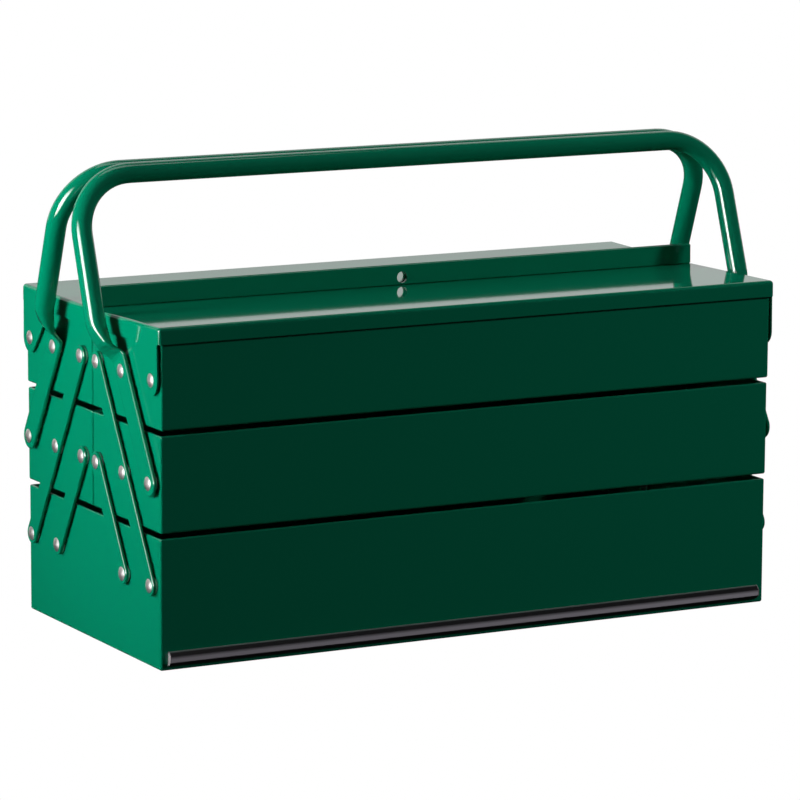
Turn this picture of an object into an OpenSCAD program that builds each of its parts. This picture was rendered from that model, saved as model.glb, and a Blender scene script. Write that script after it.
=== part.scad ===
// Cantilever tool box in sheet steel, shown closed: a deep base tray, two middle trays, two top
// trays with hinged lids, flat links riveted to both ends, and two tube handles whose flattened
// ends are the outer links.
// Origin on the floor under the middle of the base, +Z up, +X along the length, -Y to the front.
// Everything is drawn for the front half and mirrored to the rear half.

/* [Trays] */
// Length of the trays over their end walls
box_length = 440; // [360:5:520]
// Depth of the base tray, front to rear
box_depth = 200; // [180:2:230]
// Height of the base tray
base_height = 83; // [70:1:110]
// Height of the middle trays
middle_height = 61; // [50:1:80]
// Height of the top trays
top_height = 61.5; // [52:0.5:84]
// Gap between a rim and the floor of the tray above it
level_gap = 3.5; // [2:0.5:6]
// How much further out each level stands than the one below it
level_step = 1; // [0:0.5:2]
// Gap between the front and the rear trays
middle_gap = 1.5; // [1:0.5:3]

/* [Sheet steel] */
// Thickness of the tray and lid sheet
sheet = 1; // [0.8:0.1:1.4]
// Inner radius of the folds
fold_radius = 0.4; // [0.2:0.1:1]
// Height of the hem folded inwards at each rim
hem_height = 7; // [4:1:12]

/* [Lids] */
// Space between the front of a top tray and the skirt of its lid
lid_front_space = 1; // [0.9:0.1:1.5]
// Space between the end of a top tray and the skirt of its lid
lid_end_space = 1.5; // [1.3:0.1:1.8]
// Space between the inner rim of a top tray and the lid above it
lid_rim_space = 0.3; // [0.2:0.1:1]
// Slope of the lids down towards the middle, in degrees
lid_slope = 0.9; // [0:0.1:1.2]
// Outer radius of the corners and of the folds down to the skirt
lid_corner = 2.4; // [1.6:0.2:3]
// Depth of the lid skirt along the front
skirt_depth = 10.5; // [9:0.5:12]
// Depth of the lid skirt along the ends
end_skirt_depth = 12; // [10:0.5:14]
// How far the gusset between ear and skirt runs along the end, from the rivet
ear_run = 30; // [22:1:34]
// Height of the doubled flange that stands up along the inner edge of a lid
flange_height = 13; // [11:0.2:17]
// Height above the lid where the folded-back front of the flange ends
flange_lift = 0.5; // [0.5:0.1:1]
// Distance between the middle plane of the box and the flange of a lid
flange_space = 1.5; // [1.2:0.1:2]
// Diameter of the padlock hole in the flanges
padlock_hole_d = 7.5; // [5:0.5:8]
// Height of the padlock hole above the top of the lids
padlock_hole_rise = 5; // [5:0.1:6]

/* [Linkage] */
// Distance of the rivet row below the rim of the base and middle trays
rivet_drop = 30.5; // [24:0.5:36]
// Distance of the rivet row below the rim of the top trays
top_rivet_drop = 31; // [30:0.5:35]
// Distance of the outer rivets from the outer face of their tray
rivet_inset = 10; // [9:0.5:12]
// Distance from the middle plane at which a third rivet column of the base would stand
rivet_inner = 10; // [8:0.5:12]
// Width of the flat links
link_width = 13; // [11:0.5:15]
// Thickness of the flat links
link_thickness = 2; // [1.5:0.1:2.5]
// Chamfer along the edges of the flat links
link_chamfer = 0.3; // [0.1:0.1:0.5]
// Diameter of the rivet shanks
rivet_d = 5; // [4:0.5:6]
// Diameter of the domed rivet heads
rivet_head_d = 9; // [8:0.5:10]
// Height of the domed rivet heads
rivet_head_height = 1.4; // [1:0.1:2.2]
// Diameter of the rivet tails inside the trays
rivet_tail_d = 8; // [7.5:0.5:9]
// Height of the rivet tails inside the trays
rivet_tail_height = 1.2; // [0.8:0.1:1.6]
// Diameter of the spacers between a tray end and what turns on it
spacer_d = 11; // [9.5:0.5:12]
// Thickness of the spacers under the links and handle arms
spacer_thickness = 1.2; // [1:0.1:1.5]
// Clearance all round a rivet shank
pivot_clearance = 0.05; // [0.03:0.01:0.09]
// Clearance between the flat faces that turn on each other
face_clearance = 0.1; // [0.05:0.05:0.2]

/* [Handles] */
// Diameter of the handle tube
tube_d = 13; // [11:0.5:14]
// Distance of the handle legs from the tray ends, to the middle of the tube
leg_space = 15; // [14:0.5:20]
// Height of the grips above the floor, to the middle of the tube
grip_height = 298.5; // [280:0.5:340]
// Gap between the two grips
grip_gap = 1.5; // [1:0.5:4]
// Radius of the bends, to the middle of the tube
grip_bend = 38; // [28:1:50]
// Width of the flattened arms
arm_width = 17; // [15:0.5:19]
// Thickness of the flattened arms
arm_thickness = 3; // [2.4:0.2:4]
// Where the flat of an arm ends, above its upper rivet
swage_start = 8; // [7.5:0.5:10]
// Where an arm bends into its leg, above its upper rivet
arm_kink = 11; // [10:1:16]
// Where the inside of the tube is at its full distance from the tray, above the upper rivet
spread_end = 18; // [16:1:24]
// Where the tube is fully round, above the upper rivet
swage_end = 33; // [28:1:40]

/* [Bottom trim] */
// Height of the trim strip
trim_height = 9; // [7:0.5:12]
// Thickness of the strip along its upper and lower edge
trim_edge = 0.8; // [0.5:0.1:1.5]
// How far the flat middle band stands out from the base
trim_depth = 3.5; // [2:0.1:3.5]
// Height of the flat middle band
trim_band = 4; // [2:0.5:6]
// Height of the strip above the floor
trim_lift = 3; // [2:0.5:6]
// Distance of the strip's ends from the ends of the base
trim_margin = 5; // [2:0.5:10]

/* [Hidden] */
$fn = 64;
cut = 0.5;            // how far a cutter runs past the face it cuts
max_bow = 0.02;       // how far off its line a place may lie on a straight link
ring_points = 32;     // points round each ring of the swaged handle feet
foot_rings = 12;      // rings along each foot
ring_inset = 0.05;    // how far the rings stay inside the outline of arm and leg
green = [0.0, 0.33, 0.22];
steel = [0.8, 0.8, 0.82];
dark = [0.2, 0.19, 0.2];

hem = 2 * sheet;
fold_corner = sheet + fold_radius;
end_face = box_length / 2;

rivet_spacing = (box_depth / 2 - rivet_inset - rivet_inner) / 2;

// Levels: 0 is the base, 1 the middle trays, 2 the top trays
floor_z = [0, base_height + level_gap, base_height + middle_height + 2 * level_gap];
rim_z = [base_height, floor_z[1] + middle_height, floor_z[2] + top_height];
rivet_z = [rim_z[0] - rivet_drop, rim_z[1] - rivet_drop, rim_z[2] - top_rivet_drop];

// Outer face of the front trays of a level
function face_y(level) = -(box_depth / 2 + level * level_step);

// A rivet's place on the tray ends: column 0 is the outer one, 1 and 2 lie further in
function pivot(level, column) =
    [face_y(level) + rivet_inset + column * rivet_spacing, rivet_z[level]];

lid_pivot = pivot(2, 0);
arm_top = pivot(2, 1);
arm_bottom = pivot(1, 0);
long_link = [pivot(0, 0), pivot(1, 1), pivot(2, 2)];
short_link = [pivot(0, 1), pivot(1, 2)];

// Distances outward from a tray end to the underside of a rivet's head
link_grip = spacer_thickness + link_thickness + 2 * face_clearance;
arm_grip = spacer_thickness + arm_thickness + 2 * face_clearance;
lid_grip = lid_end_space + sheet + face_clearance;

// Columns of each level with what turns on them: spacer thickness and grip
base_pivots = [[0, spacer_thickness, link_grip], [1, spacer_thickness, link_grip]];
middle_pivots = [[0, spacer_thickness, arm_grip], [1, spacer_thickness, link_grip],
                 [2, spacer_thickness, link_grip]];
top_pivots = [[0, lid_end_space - face_clearance, lid_grip], [1, spacer_thickness, arm_grip],
              [2, spacer_thickness, link_grip]];

// Top of the lids before they slope, high enough for their inner edge to clear the rim
lid_top = rim_z[2] + lid_rim_space + sheet - (lid_pivot[0] + flange_space) * sin(lid_slope);
lid_face_y = face_y(2) - lid_front_space - sheet;
lid_end = end_face + lid_end_space + sheet;

arm_lean = atan2(arm_top[0] - arm_bottom[0], arm_top[1] - arm_bottom[1]);
arm_length = norm(arm_top - arm_bottom);
arm_x = end_face + spacer_thickness + face_clearance + arm_thickness / 2;
leg_x = end_face + leg_space;
grip_y = -(grip_gap + tube_d) / 2;
kink = arm_top + arm_kink * [sin(arm_lean), cos(arm_lean)];
leg_lean = atan2(grip_y - kink[0], grip_height - kink[1]);
leg_length = norm([grip_y, grip_height] - kink);

// ---- Helpers ----

module both_ends() {
    for (side = [0, 1]) mirror([side, 0, 0]) children();
}

module rear() {
    mirror([0, 1, 0]) children();
}

// A solid drawn outward from z = 0, set on the left tray end at a place [y, z]
module on_end(place, out = 0) {
    translate([-end_face - out, place[0], place[1]]) rotate([0, -90, 0]) children();
}

// A round hole along X through anything at a place [y, z] on both ends
module end_hole(place, d, reach) {
    both_ends() translate([-end_face - reach, place[0], place[1]])
        rotate([0, 90, 0]) cylinder(d = d, h = 2 * reach);
}

// A quarter ring of sheet, from its outer face to its inner one, about the origin
module fold_2d(outer) {
    intersection() {
        difference() {
            circle(r = outer);
            circle(r = outer - sheet);
        }
        square(outer + cut);
    }
}

// ---- Trays ----

// Section of a tray wall: outer face on x = 0, the floor's fold at the bottom, the hem at the rim
module wall_2d(height) {
    translate([-fold_corner, fold_corner]) mirror([0, 1]) fold_2d(fold_corner);
    translate([-sheet, fold_corner]) square([sheet, height - fold_corner - sheet]);
    translate([-hem, height - hem_height]) square([hem, hem_height - sheet]);
    translate([-sheet, height - sheet]) circle(r = sheet);
}

module tray_wall(length, height) {
    rotate([90, 0, 0]) linear_extrude(length, center = true) wall_2d(height);
}

// Quarter turn of the wall about the Z axis, without the part of the hem that passes the axis
module tray_corner(height) {
    rotate_extrude(angle = 90) intersection() {
        translate([fold_corner, 0]) wall_2d(height);
        square([fold_corner, height]);
    }
}

// Open tray with its floor on z = 0, centred on the Z axis
module tray_shell(length, depth, height) {
    half_x = length / 2 - fold_corner;
    half_y = depth / 2 - fold_corner;
    translate([-half_x, -half_y, 0]) cube([2 * half_x, 2 * half_y, sheet]);
    for (turn = [0, 180]) rotate(turn) {
        translate([length / 2, 0, 0]) tray_wall(2 * half_y, height);
        rotate(90) translate([depth / 2, 0, 0]) tray_wall(2 * half_x, height);
        translate([half_x, half_y, 0]) tray_corner(height);
        translate([half_x, -half_y, 0]) rotate(-90) tray_corner(height);
    }
}

module riveted_tray(level, near_y, height, columns) {
    far_y = face_y(level);
    difference() {
        translate([0, (near_y + far_y) / 2, floor_z[level]])
            tray_shell(box_length, near_y - far_y, height);
        for (entry = columns)
            end_hole(pivot(level, entry[0]), rivet_d + 2 * pivot_clearance, sheet + cut);
    }
}

module base_tray() {
    color(green) difference() {
        riveted_tray(0, -face_y(0), base_height, base_pivots);
        rear() for (entry = base_pivots)
            end_hole(pivot(0, entry[0]), rivet_d + 2 * pivot_clearance, sheet + cut);
    }
}

module middle_tray() {
    color(green) riveted_tray(1, -middle_gap / 2, middle_height, middle_pivots);
}

module top_tray() {
    color(green) riveted_tray(2, -middle_gap / 2, top_height, top_pivots);
}

// ---- Lids ----

// Section of a lid skirt: outer face on x = 0, top face on y = 0
module skirt_2d(depth) {
    translate([-lid_corner, -lid_corner]) fold_2d(lid_corner);
    translate([-sheet, -depth]) square([sheet, depth - lid_corner]);
}

// Outline of the ear on a lid's end, in [y, z], from the skirt down round the rivet
module ear_2d() {
    front = lid_face_y + lid_corner;
    ear_radius = lid_pivot[0] - front;
    skirt_z = lid_top - end_skirt_depth;
    drop = skirt_z - lid_pivot[1];
    // where the gusset's edge touches the round of the ear
    touch = atan2(drop, ear_run) - acos(ear_radius / norm([ear_run, drop]));
    translate(lid_pivot) circle(r = ear_radius);
    polygon([
        [front, skirt_z + sheet],
        [front, lid_pivot[1]],
        lid_pivot,
        lid_pivot + ear_radius * [cos(touch), sin(touch)],
        lid_pivot + [ear_run, drop],
        lid_pivot + [ear_run, drop + sheet]
    ]);
}

// Upright flange on the lid's inner edge, in [y, z]: the fold that leads up to it, and the
// sheet folded back down its front
module flange_2d() {
    fold_z = lid_top - sheet + fold_corner;
    top = lid_top + flange_height;
    translate([-flange_space - fold_corner, fold_z]) mirror([0, 1]) fold_2d(fold_corner);
    translate([-flange_space - sheet, fold_z]) square([sheet, top - sheet - fold_z]);
    translate([-flange_space - hem, lid_top + flange_lift])
        square([hem, flange_height - flange_lift - sheet]);
    translate([-flange_space - sheet, top - sheet]) circle(r = sheet);
}

module lid() {
    plate_x = lid_end - lid_corner;
    plate_y = lid_face_y + lid_corner;
    edge_y = -flange_space - fold_corner;
    color(green) translate([0, lid_pivot[0], lid_pivot[1]]) rotate([-lid_slope, 0, 0])
    translate([0, -lid_pivot[0], -lid_pivot[1]]) difference() {
        union() {
            translate([-plate_x, plate_y, lid_top - sheet])
                cube([2 * plate_x, edge_y - plate_y, sheet]);
            translate([0, lid_face_y, lid_top]) rotate([90, 0, -90])
                linear_extrude(2 * plate_x, center = true) skirt_2d(skirt_depth);
            rotate([90, 0, 90]) linear_extrude(2 * plate_x, center = true) flange_2d();
            both_ends() {
                translate([-plate_x, plate_y, lid_top]) rotate(180)
                    rotate_extrude(angle = 90) translate([lid_corner, 0]) skirt_2d(skirt_depth);
                translate([-lid_end, (plate_y + edge_y) / 2, lid_top]) rotate([90, 0, 180])
                    linear_extrude(edge_y - plate_y, center = true) skirt_2d(end_skirt_depth);
                translate([-lid_end, 0, 0]) rotate([90, 0, 90])
                    linear_extrude(sheet) ear_2d();
            }
        }
        end_hole(lid_pivot, rivet_d + 2 * pivot_clearance, lid_end_space + sheet + cut);
        translate([0, 0, lid_top + padlock_hole_rise]) rotate([90, 0, 0])
            cylinder(d = padlock_hole_d, h = flange_space + hem + cut);
    }
}

// ---- Flat links ----

// Section through half a link: its middle on x = 0, its inner face on y = 0
module half_link_2d() {
    edge = link_width / 2;
    polygon([
        [0, 0], [edge - link_chamfer, 0], [edge, link_chamfer],
        [edge, link_thickness - link_chamfer], [edge - link_chamfer, link_thickness],
        [0, link_thickness]
    ]);
}

module link_2d() {
    for (side = [0, 1]) mirror([side, 0]) half_link_2d();
}

// Straight stretch of a link between two places, with a half round beyond each of them
module link_stretch(from, to) {
    span = to - from;
    reach = norm(span);
    translate([0, from[0], from[1]]) rotate([-atan2(span[0], span[1]), 0, 0]) {
        linear_extrude(reach) rotate(90) link_2d();
        for (top = [0, 1]) translate([0, 0, top * reach]) mirror([0, 0, top])
            rotate([0, -90, 0]) rotate(90) rotate_extrude(angle = 180) half_link_2d();
    }
}

// How far the second place lies off the line from the first to the last
function bow(places) = let (span = places[len(places) - 1] - places[0])
    abs(cross(span, places[1] - places[0])) / norm(span);

// A link whose places are in line is one stretch, any other has one from place to place
module link_plate(places) {
    last = len(places) - 1;
    stride = bow(places) < max_bow ? last : 1;
    color(green) translate([-end_face - spacer_thickness - face_clearance, 0, 0])
        difference() {
            for (i = [stride : stride : last]) link_stretch(places[i - stride], places[i]);
            for (place = places) translate([-link_thickness - cut, place[0], place[1]])
                rotate([0, 90, 0])
                    cylinder(d = rivet_d + 2 * pivot_clearance, h = link_thickness + 2 * cut);
        }
}

// ---- Rivets and spacers ----

// Rivet standing on z = 0, the outside of the sheet, with its head at the grip's end
module rivet(grip) {
    head_r = rivet_head_d / 2;
    dome_r = (head_r * head_r + rivet_head_height * rivet_head_height) / (2 * rivet_head_height);
    translate([0, 0, -sheet - rivet_tail_height])
        cylinder(d = rivet_d, h = grip + sheet + rivet_tail_height + rivet_head_height / 2);
    translate([0, 0, -sheet - rivet_tail_height]) cylinder(d = rivet_tail_d, h = rivet_tail_height);
    translate([0, 0, grip]) intersection() {
        translate([0, 0, rivet_head_height - dome_r]) sphere(r = dome_r);
        cylinder(d = rivet_head_d + cut, h = rivet_head_height + cut);
    }
}

module rivet_set(level, columns) {
    color(steel) both_ends() for (entry = columns)
        on_end(pivot(level, entry[0])) rivet(entry[2]);
}

module spacer_set(level, columns) {
    color(steel) both_ends() for (entry = columns)
        on_end(pivot(level, entry[0])) difference() {
            cylinder(d = spacer_d, h = entry[1]);
            translate([0, 0, -cut])
                cylinder(d = rivet_d + 2 * pivot_clearance, h = entry[1] + 2 * cut);
        }
}

// ---- Handles ----

// Flat-sided section with round edges, wide along x
module flat_tube_2d() {
    flat = arm_width - arm_thickness;
    square([flat, arm_thickness], center = true);
    for (side = [-1, 1]) translate([side * flat / 2, 0]) circle(d = arm_thickness);
}

// Flattened end of the tube: from a half round below its lower rivet up to the swage
module handle_arm() {
    translate([-arm_x, arm_bottom[0], arm_bottom[1]]) rotate([-arm_lean, 0, 0]) {
        linear_extrude(arm_length + swage_start) rotate(90) flat_tube_2d();
        rotate([0, -90, 0]) rotate(90) rotate_extrude(angle = 180) intersection() {
            flat_tube_2d();
            translate([0, -arm_thickness]) square([arm_width, 2 * arm_thickness]);
        }
    }
}

// Share of a change passed at s when it runs between two distances, eased at both ends
function eased(s, from, to) = let (u = max(0, min(1, (s - from) / (to - from)))) u * u * (3 - 2 * u);

// Middle of the tube in [y, z], at a distance above the upper rivet along arm and leg
function foot_place(s) = s < arm_kink
    ? arm_top + s * [sin(arm_lean), cos(arm_lean)]
    : kink + (s - arm_kink) * [sin(leg_lean), cos(leg_lean)];

function blend(from, to, share) = from + share * (to - from);

// Outline of the tube there, as points in space: it leaves the tray first and then turns round
function foot_ring(s) =
    let (
        rounded = eased(s, swage_start, swage_end),
        spread = eased(s, swage_start, spread_end),
        lean = blend(arm_lean, leg_lean, spread),
        place = foot_place(s),
        inner_x = blend(arm_x - arm_thickness / 2, leg_x - tube_d / 2, spread),
        middle_x = inner_x + blend(arm_thickness, tube_d, rounded) / 2,
        thickness = blend(arm_thickness, tube_d, rounded) - 2 * ring_inset,
        flat = blend(arm_width, tube_d, rounded) - 2 * ring_inset - thickness
    )
    [for (i = [0 : ring_points - 1])
        let (
            turn = (i + 0.5) * 360 / ring_points,
            wide = thickness / 2 * cos(turn) + sign(cos(turn)) * flat / 2,
            out = thickness / 2 * sin(turn)
        )
        [-middle_x - out, place[0] + wide * cos(lean), place[1] - wide * sin(lean)]
    ];

// Skin through rings of equally many points, closed at both ends
module loft(rings) {
    n = len(rings[0]);
    last = len(rings) - 1;
    polyhedron(
        points = [for (ring = rings) each ring],
        faces = concat(
            [[for (i = [0 : n - 1]) i]],
            [for (k = [0 : last - 1], i = [0 : n - 1]) [k * n + i, (k + 1) * n + i, k * n + (i + 1) % n]],
            [for (k = [0 : last - 1], i = [0 : n - 1])
                [k * n + (i + 1) % n, (k + 1) * n + i, (k + 1) * n + (i + 1) % n]],
            [[for (i = [n - 1 : -1 : 0]) last * n + i]]
        )
    );
}

module handle_foot() {
    step = (swage_end - swage_start) / foot_rings;
    loft([for (k = [0 : foot_rings]) foot_ring(swage_start + k * step)]);
}

// Round part of the tube in its own leaning plane, the grip's middle at the origin
module handle_bow() {
    straight = leg_x - grip_bend;
    rotate([0, 90, 0]) cylinder(d = tube_d, h = 2 * straight, center = true);
    both_ends() {
        translate([-straight, 0, -grip_bend]) rotate([90, 0, 0]) rotate(90)
            rotate_extrude(angle = 90) translate([grip_bend, 0]) circle(d = tube_d);
        translate([-leg_x, 0, -leg_length + swage_end - arm_kink])
            cylinder(d = tube_d, h = leg_length - swage_end + arm_kink - grip_bend);
    }
}

module handle() {
    color(green) difference() {
        union() {
            both_ends() {
                handle_arm();
                handle_foot();
            }
            translate([0, grip_y, grip_height]) rotate([-leg_lean, 0, 0]) handle_bow();
        }
        for (place = [arm_top, arm_bottom])
            end_hole(place, rivet_d + 2 * pivot_clearance, arm_x - end_face + arm_thickness);
    }
}

// ---- Trim ----

// Section of the strip along the bottom of the base's front: a flat band between two bevels
module trim_2d() {
    band_y = trim_lift + (trim_height - trim_band) / 2;
    polygon([
        [0, trim_lift], [trim_edge, trim_lift], [trim_depth, band_y],
        [trim_depth, band_y + trim_band], [trim_edge, trim_lift + trim_height],
        [0, trim_lift + trim_height]
    ]);
}

module bottom_trim() {
    color(dark) translate([0, face_y(0), 0]) rotate([90, 0, -90])
        linear_extrude(box_length - 2 * trim_margin, center = true) trim_2d();
}

base_tray();
middle_tray();  // front_middle_tray
rear() middle_tray();  // rear_middle_tray
top_tray();  // front_top_tray
rear() top_tray();  // rear_top_tray
lid();  // front_lid
rear() lid();  // rear_lid
handle();  // front_handle
rear() handle();  // rear_handle
link_plate(long_link);  // front_long_link_left
mirror([1, 0, 0]) link_plate(long_link);  // front_long_link_right
rear() link_plate(long_link);  // rear_long_link_left
rear() mirror([1, 0, 0]) link_plate(long_link);  // rear_long_link_right
link_plate(short_link);  // front_short_link_left
mirror([1, 0, 0]) link_plate(short_link);  // front_short_link_right
rear() link_plate(short_link);  // rear_short_link_left
rear() mirror([1, 0, 0]) link_plate(short_link);  // rear_short_link_right
union() {  // base_rivets
    rivet_set(0, base_pivots);
    rear() rivet_set(0, base_pivots);
}
rivet_set(1, middle_pivots);  // front_middle_rivets
rear() rivet_set(1, middle_pivots);  // rear_middle_rivets
rivet_set(2, top_pivots);  // front_top_rivets
rear() rivet_set(2, top_pivots);  // rear_top_rivets
union() {  // base_spacers
    spacer_set(0, base_pivots);
    rear() spacer_set(0, base_pivots);
}
spacer_set(1, middle_pivots);  // front_middle_spacers
rear() spacer_set(1, middle_pivots);  // rear_middle_spacers
spacer_set(2, top_pivots);  // front_top_spacers
rear() spacer_set(2, top_pivots);  // rear_top_spacers
bottom_trim();
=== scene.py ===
import math

import bpy
from mathutils import Matrix, Vector

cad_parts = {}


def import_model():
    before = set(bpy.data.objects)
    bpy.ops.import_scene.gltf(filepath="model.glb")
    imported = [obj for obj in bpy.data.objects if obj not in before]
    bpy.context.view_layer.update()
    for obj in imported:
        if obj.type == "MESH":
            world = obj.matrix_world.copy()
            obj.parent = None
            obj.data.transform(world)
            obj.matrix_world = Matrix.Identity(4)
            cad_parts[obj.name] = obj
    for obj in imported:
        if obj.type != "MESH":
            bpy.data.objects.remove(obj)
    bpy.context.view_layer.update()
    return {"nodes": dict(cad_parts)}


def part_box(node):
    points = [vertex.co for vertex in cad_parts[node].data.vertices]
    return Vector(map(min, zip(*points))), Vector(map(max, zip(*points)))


# Colours are linear red, green and blue, and lengths are metres.
PAINT_GREEN = (0.0, 0.21, 0.108)
ZINC_GREY = (0.95, 0.9, 0.88)
TRIM_BLACK = (0.015, 0.014, 0.016)
TRIM_BAND = (0.6, 0.565, 0.64)
# A greenish line painted along the trim's upper edge, a painted reflection of the green paint above it.
TRIM_EDGE_PAINTED_REFLECTION = (0.16, 0.2, 0.19)
# Pale colour painted on the last half millimetre at each end of the trim, a painted highlight.
TRIM_END_PAINTED_HIGHLIGHT = (0.32, 0.3, 0.31)
TRIM_END_HIGHLIGHT_DEPTH = 0.0005
# The trim's colours, from 0 at its lower edge to 1 at its upper edge. The last stop is a painted
# reflection of the green paint above, along the upper edge.
TRIM_STOPS_WITH_PAINTED_REFLECTION = (
    (0.17, TRIM_BLACK), (0.29, TRIM_BAND), (0.5, TRIM_BAND),
    (0.73, TRIM_BLACK), (0.91, TRIM_BLACK), (0.97, TRIM_EDGE_PAINTED_REFLECTION),
)
BOX_MIDDLE = (0, 0, 0.1)
STAGE_SIZE = 12

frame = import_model()
scene = bpy.context.scene


# ---- Camera ----

def camera():
    """The view of the photo, from the left and a little above. Its lens isn't shifted."""
    yaw, pitch, roll = math.radians(28.23), math.radians(10.01), math.radians(0.29)
    aim, distance = Vector((0, 0, 0.11)), 2.992
    aim_right, aim_up = 0.00053, 0.02682
    focal_pixels, photo_pixels = 4567, 800
    sensor_width = 36
    forward = Vector((math.sin(yaw) * math.cos(pitch), math.cos(yaw) * math.cos(pitch), -math.sin(pitch)))
    level = Vector((math.cos(yaw), -math.sin(yaw), 0))
    upright = level.cross(forward)
    right = math.cos(roll) * level + math.sin(roll) * upright
    up = math.cos(roll) * upright - math.sin(roll) * level
    place = aim + aim_right * right + aim_up * up - distance * forward
    data = bpy.data.cameras.new("camera")
    data.sensor_width = sensor_width
    data.lens = focal_pixels * sensor_width / photo_pixels
    data.clip_end = 50
    obj = bpy.data.objects.new("camera", data)
    scene.collection.objects.link(obj)
    turn = Matrix((right, up, -forward)).transposed()
    obj.matrix_world = Matrix.Translation(place) @ turn.to_4x4()
    scene.camera = obj


# ---- Materials ----

def new_material(name, sockets):
    """A material and its Principled shader, with the values given for the shader's own sockets."""
    material = bpy.data.materials.new(name)
    material.use_nodes = True
    shader = material.node_tree.nodes["Principled BSDF"]
    for socket, value in sockets.items():
        shader.inputs[socket].default_value = value
    return material, shader


def paint():
    """Gloss green powder coat with a faint orange peel."""
    coat = {"Base Color": (*PAINT_GREEN, 1), "Roughness": 0.06, "Specular IOR Level": 0.5}
    material, shader = new_material("paint", coat)
    nodes, links = material.node_tree.nodes, material.node_tree.links
    place = nodes.new("ShaderNodeTexCoord")
    peel = nodes.new("ShaderNodeTexNoise")
    peel.inputs["Scale"].default_value = 260
    peel.inputs["Detail"].default_value = 1
    bump = nodes.new("ShaderNodeBump")
    bump.inputs["Strength"].default_value = 0.02
    bump.inputs["Distance"].default_value = 0.0005
    links.new(place.outputs["Object"], peel.inputs["Vector"])
    links.new(peel.outputs["Fac"], bump.inputs["Height"])
    links.new(bump.outputs["Normal"], shader.inputs["Normal"])
    return material


def zinc():
    """Satin plating of the rivets and spacers."""
    return new_material("zinc", {"Base Color": (*ZINC_GREY, 1), "Metallic": 1, "Roughness": 0.4})[0]


def trim_plastic_painted_light():
    """Black strip with a satin grey band along its middle, a painted reflection of the green paint along
    its upper edge and painted highlights at its ends.
    """
    material, shader = new_material("trim_plastic_painted_light", {"Roughness": 0.35})
    nodes, links = material.node_tree.nodes, material.node_tree.links
    low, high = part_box("bottom_trim")
    place = nodes.new("ShaderNodeTexCoord")
    axes = nodes.new("ShaderNodeSeparateXYZ")
    height = nodes.new("ShaderNodeMapRange")
    height.inputs["From Min"].default_value = low[2]
    height.inputs["From Max"].default_value = high[2]
    bands_and_painted_reflection = nodes.new("ShaderNodeValToRGB")
    stops = bands_and_painted_reflection.color_ramp.elements
    for position, color in TRIM_STOPS_WITH_PAINTED_REFLECTION:
        stops.new(position).color = (*color, 1)
    # The two stops that a new ramp has, at its ends, are taken out.
    stops.remove(stops[-1])
    stops.remove(stops[0])
    side = nodes.new("ShaderNodeMath")
    side.operation = "ABSOLUTE"
    # The last half millimetre at each end of the trim is painted pale, a painted highlight.
    end_highlight_mask = nodes.new("ShaderNodeMath")
    end_highlight_mask.operation = "GREATER_THAN"
    end_highlight_mask.inputs[1].default_value = high[0] - TRIM_END_HIGHLIGHT_DEPTH
    # In RGBA mode the Mix node's factor is input 0, its colours are 6 and 7, and its result is output 2.
    mix = nodes.new("ShaderNodeMix")
    mix.data_type = "RGBA"
    mix.inputs[7].default_value = (*TRIM_END_PAINTED_HIGHLIGHT, 1)
    links.new(place.outputs["Object"], axes.inputs["Vector"])
    links.new(axes.outputs["Z"], height.inputs["Value"])
    links.new(height.outputs["Result"], bands_and_painted_reflection.inputs["Fac"])
    links.new(axes.outputs["X"], side.inputs[0])
    links.new(side.outputs["Value"], end_highlight_mask.inputs[0])
    links.new(end_highlight_mask.outputs["Value"], mix.inputs[0])
    links.new(bands_and_painted_reflection.outputs["Color"], mix.inputs[6])
    links.new(mix.outputs[2], shader.inputs["Base Color"])
    return material


def dress():
    """Zinc on rivets and spacers, plastic with a painted reflection and painted highlights on the trim,
    and paint on all the rest.
    """
    coat, plating, plastic = paint(), zinc(), trim_plastic_painted_light()
    for name, obj in frame["nodes"].items():
        if "rivets" in name or "spacers" in name:
            finish = plating
        elif name == "bottom_trim":
            finish = plastic
        else:
            finish = coat
        obj.data.materials.clear()
        obj.data.materials.append(finish)


# ---- Stage ----

def white_to_camera(tree, light_node, output_node, seen_by_others):
    """Glow that is white where the camera looks at it, and dimmer for the rays that light the box."""
    nodes, links = tree.nodes, tree.links
    nodes.clear()
    path = nodes.new("ShaderNodeLightPath")
    white = nodes.new(light_node)
    white.inputs["Color"].default_value = (1, 1, 1, 1)
    other = nodes.new(light_node)
    other.inputs["Color"].default_value = (1, 1, 1, 1)
    other.inputs["Strength"].default_value = seen_by_others
    mix = nodes.new("ShaderNodeMixShader")
    out = nodes.new(output_node)
    links.new(path.outputs["Is Camera Ray"], mix.inputs["Fac"])
    links.new(other.outputs[0], mix.inputs[1])
    links.new(white.outputs[0], mix.inputs[2])
    links.new(mix.outputs["Shader"], out.inputs["Surface"])


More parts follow.
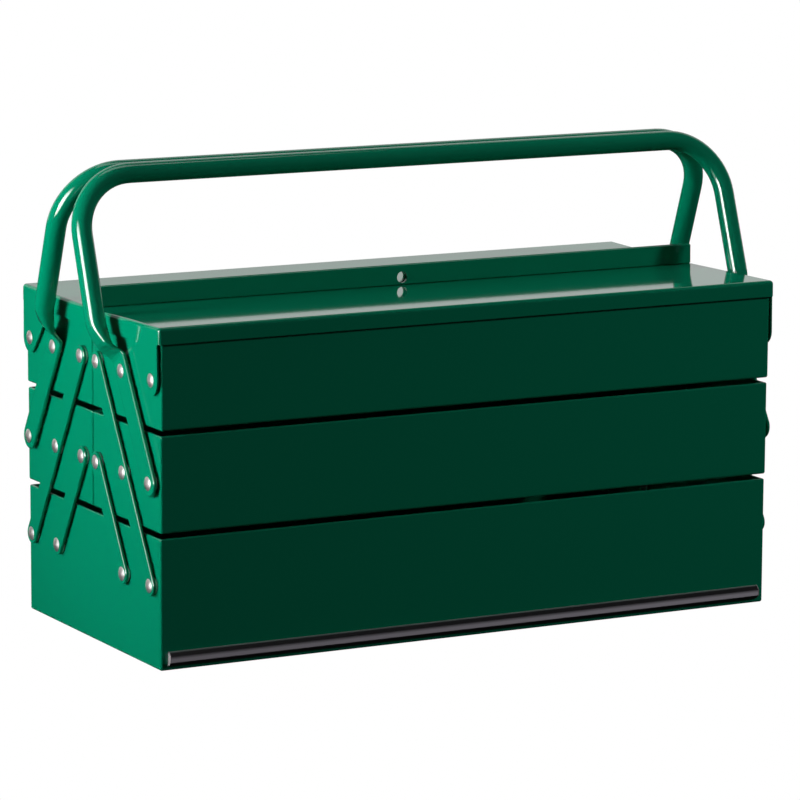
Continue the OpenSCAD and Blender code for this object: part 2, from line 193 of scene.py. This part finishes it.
def stage_plane(name, place, turn, seen_by_others):
    """A square that glows. Its turn is in degrees."""
    material = bpy.data.materials.new(name)
    material.use_nodes = True
    white_to_camera(material.node_tree, "ShaderNodeEmission", "ShaderNodeOutputMaterial", seen_by_others)
    mesh = bpy.data.meshes.new(name)
    half = STAGE_SIZE / 2
    corners = [(-half, -half, 0), (half, -half, 0), (half, half, 0), (-half, half, 0)]
    mesh.from_pydata(corners, [], [(0, 1, 2, 3)])
    mesh.materials.append(material)
    obj = bpy.data.objects.new(name, mesh)
    obj.location = place
    obj.rotation_euler = [math.radians(angle) for angle in turn]
    scene.collection.objects.link(obj)


def world(seen_by_others):
    sky = bpy.data.worlds.new("world")
    scene.world = sky
    sky.use_nodes = True
    white_to_camera(sky.node_tree, "ShaderNodeBackground", "ShaderNodeOutputWorld", seen_by_others)


def lamp(name, place, target, size, watts, spread=180, diffuse=True, glossy=True):
    """A flat lamp that faces its target. It can be left out of what matt or glossy surfaces show."""
    data = bpy.data.lights.new(name, "AREA")
    data.spread = math.radians(spread)
    data.shape = "RECTANGLE"
    data.size, data.size_y = size
    data.energy = watts
    obj = bpy.data.objects.new(name, data)
    obj.location = place
    aim = Vector(target) - Vector(place)
    obj.rotation_euler = aim.to_track_quat("-Z", "Y").to_euler()
    obj.visible_diffuse, obj.visible_glossy = diffuse, glossy
    scene.collection.objects.link(obj)


def studio():
    """White surroundings, light from the left, above and the front right, and a card for the gloss."""
    world(seen_by_others=0.03)
    stage_plane("floor", place=(0, 0, 0), turn=(0, 0, 0), seen_by_others=0.01)
    stage_plane("backdrop", place=(2.0, 4.5, 0), turn=(90, 0, -28), seen_by_others=0.75)
    lamp(
        "left_box", place=(-1.3, 0.05, 0.4), target=(-0.22, -0.05, 0.36), size=(0.4, 0.7),
        watts=3.8, spread=64, glossy=False,
    )
    lamp(
        "left_card", place=(-1.23, -0.41, 0.5), target=(-0.15, -0.02, 0.35), size=(0.65, 0.9),
        watts=6, spread=54, diffuse=False,
    )
    lamp("top_box", place=(0.3, 0.4, 2.6), target=BOX_MIDDLE, size=(1.6, 0.8), watts=7)
    lamp(
        "key_box", place=(1.75, -1.25, 1.25), target=BOX_MIDDLE, size=(0.22, 0.22),
        watts=17.6, glossy=False,
    )


camera()
dress()
studio()
scene.view_settings.view_transform = "Standard"
